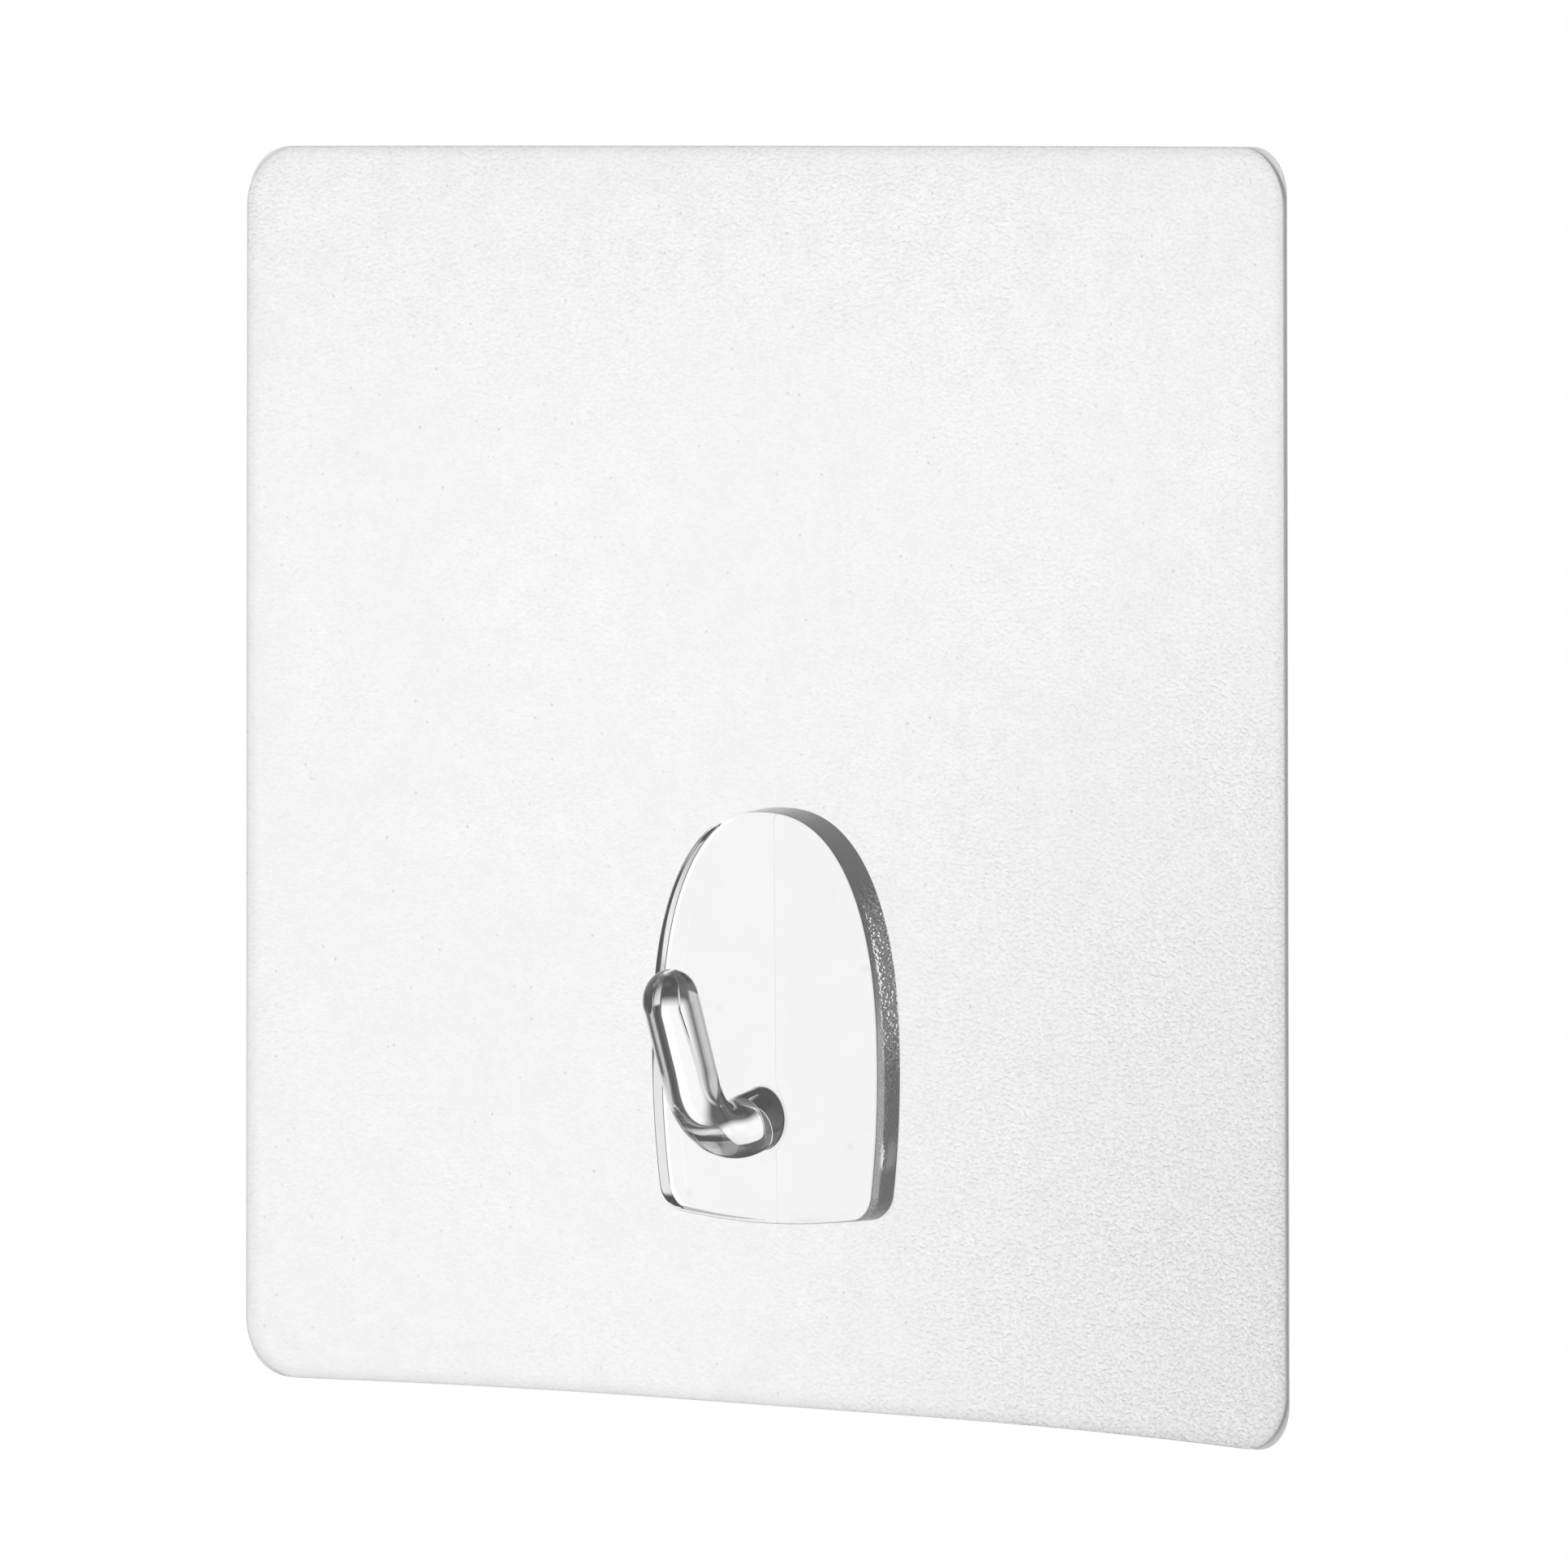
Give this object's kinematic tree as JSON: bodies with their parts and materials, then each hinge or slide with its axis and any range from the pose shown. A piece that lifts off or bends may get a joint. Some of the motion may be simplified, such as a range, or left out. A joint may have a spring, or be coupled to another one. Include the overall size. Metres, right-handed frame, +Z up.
{
  "type": "adhesive wall hook",
  "caption": "Clear moulded hook bonded to a square of frosted self-adhesive film with a peel-off liner, for smooth walls.",
  "frame": {"origin": "middle of the adhesive's wall side, behind the middle of the film; the wall is the plane Y = 0", "axes": "+Z up, -Y out of the wall towards the room, +Y into the wall, +X to the right as seen from the room"},
  "size_m": [0.0795, 0.0155, 0.08],
  "materials": {
    "clear_plastic": "clear, polished by the mould",
    "clear_bond": "clear, wets both faces",
    "frosted_film": "fine embossed grain",
    "clear_adhesive": "tacky, clear",
    "liner_paper": "white coated liner, satin"
  },
  "bodies": {
    "hook": {"hook_moulding": "clear_plastic", "hook_bond": "clear_bond", "film_sheet": "frosted_film", "adhesive_layer": "clear_adhesive"},
    "liner": {"release_liner": "liner_paper"}
  },
  "joints": [
    {"name": "liner_pull", "type": "slide", "parent": "hook", "child": "liner", "axis": [0, 1, 0], "range_m": [0, 0.03]}
  ]
}
